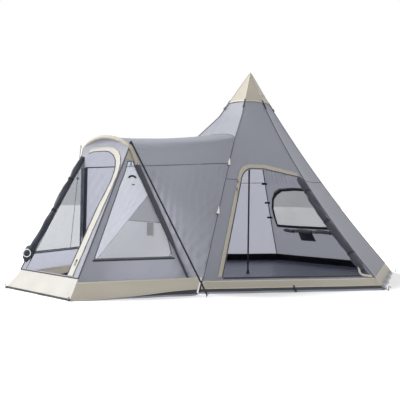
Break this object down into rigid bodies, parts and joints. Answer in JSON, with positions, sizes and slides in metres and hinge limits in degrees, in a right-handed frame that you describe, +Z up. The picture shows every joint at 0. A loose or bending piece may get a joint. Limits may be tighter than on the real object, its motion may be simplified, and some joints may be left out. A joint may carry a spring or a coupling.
{
  "type": "teepee tent",
  "caption": "Six-sided teepee tent on one centre pole, with a hooped porch, a side door, clear windows, groundsheets, skirts, pegs and guy straps.",
  "frame": {"origin": "centre of the bounding box's bottom face, on the ground, 0.776 m from the centre pole towards the porch", "axes": "-X towards the porch, -Y towards the side door, +Z up"},
  "size_m": [5.7352, 4.8794, 3.015],
  "materials": {
    "canopy_cloth": "woven polyester, matt grey",
    "rolled_cloth": "dark blue-grey rolled cloth",
    "inner_cloth": "light breathable inner cloth",
    "trim_cloth": "beige woven trim",
    "skirt_cloth": "beige woven skirt",
    "groundsheet_cloth": "dark coated groundsheet",
    "clear_window": "clear flexible film",
    "pole_steel": "dark powder coat",
    "hoop_tube": "dark matt tube",
    "black_plastic": "moulded plastic",
    "strap_webbing": "flat woven webbing"
  },
  "bodies": {
    "tent": {"side_door_panel": "canopy_cloth", "near_rear_panel": "canopy_cloth", "rear_window_panel": "canopy_cloth", "far_rear_panel": "canopy_cloth", "far_front_panel": "canopy_cloth", "front_panel": "canopy_cloth", "rear_window_cover_roll": "canopy_cloth", "porch_roof": "canopy_cloth", "porch_side_near": "canopy_cloth", "porch_side_far": "canopy_cloth", "gusset_near": "canopy_cloth", "gusset_far": "canopy_cloth", "porch_front_wall": "canopy_cloth", "side_door_roll": "rolled_cloth", "front_door_roll": "rolled_cloth", "inner_door_panel": "inner_cloth", "peak_cap": "trim_cloth", "side_door_trim": "trim_cloth", "front_door_trim": "trim_cloth", "hoop_sleeve": "trim_cloth", "skirt_side_door": "skirt_cloth", "skirt_near_rear": "skirt_cloth", "skirt_rear": "skirt_cloth", "skirt_far_rear": "skirt_cloth", "skirt_far_front": "skirt_cloth", "skirt_porch_near": "skirt_cloth", "skirt_porch_far": "skirt_cloth", "skirt_porch_front": "skirt_cloth", "inner_groundsheet": "groundsheet_cloth", "porch_groundsheet": "groundsheet_cloth", "rear_window_pane": "clear_window", "gusset_pane_near": "clear_window", "gusset_pane_far": "clear_window", "centre_pole_lower": "pole_steel", "centre_pole_middle": "pole_steel", "centre_pole_upper": "pole_steel", "guy_peg_near": "pole_steel", "guy_peg_far": "pole_steel", "peg_near_middle": "pole_steel", "peg_near_rear": "pole_steel", "peg_far_rear": "pole_steel", "peg_far_middle": "pole_steel", "peg_porch_near": "pole_steel", "peg_porch_far": "pole_steel", "hoop_leg_near": "hoop_tube", "hoop_leg_far": "hoop_tube", "hoop_arch": "hoop_tube", "pole_foot": "black_plastic", "pole_head": "black_plastic", "rear_window_frame": "black_plastic", "hoop_foot_near": "black_plastic", "hoop_foot_far": "black_plastic", "guy_strap_near": "strap_webbing", "guy_strap_far": "strap_webbing"},
    "side_door_slider": {"side_door_slider": "black_plastic"},
    "side_door_puller": {"side_door_puller": "black_plastic"},
    "front_door_slider": {"front_door_slider": "black_plastic"},
    "front_door_puller": {"front_door_puller": "black_plastic"},
    "guy_runner_near": {"guy_runner_near": "black_plastic"},
    "guy_runner_far": {"guy_runner_far": "black_plastic"}
  },
  "joints": [
    {"name": "side_door_zip", "type": "slide", "parent": "tent", "child": "side_door_slider", "axis": [0.5384, 0.3272, 0.7765], "range_m": [-1.1, 0.15]},
    {"name": "side_door_pull_tab", "type": "hinge", "parent": "side_door_slider", "child": "side_door_puller", "pos_m": [-0.2916, -0.83215, 1.2119], "axis": [-0.7655, 0.5752, 0.2884], "range_deg": [0, 165]},
    {"name": "front_door_zip", "type": "slide", "parent": "tent", "child": "front_door_slider", "axis": [0.4955, 0.052, 0.8671], "range_m": [-0.1, 0.91]},
    {"name": "front_door_pull_tab", "type": "hinge", "parent": "front_door_slider", "child": "front_door_puller", "pos_m": [-2.60207, -0.5619, 0.41925], "axis": [-0.0195, 0.9986, -0.0488], "range_deg": [0, 165]},
    {"name": "guy_runner_near_slide", "type": "slide", "parent": "tent", "child": "guy_runner_near", "axis": [0.2075, -0.4475, -0.8699], "range_m": [-0.3, 0.7]},
    {"name": "guy_runner_far_slide", "type": "slide", "parent": "tent", "child": "guy_runner_far", "axis": [0.2059, 0.4613, -0.863], "range_m": [-0.3, 0.7]}
  ]
}
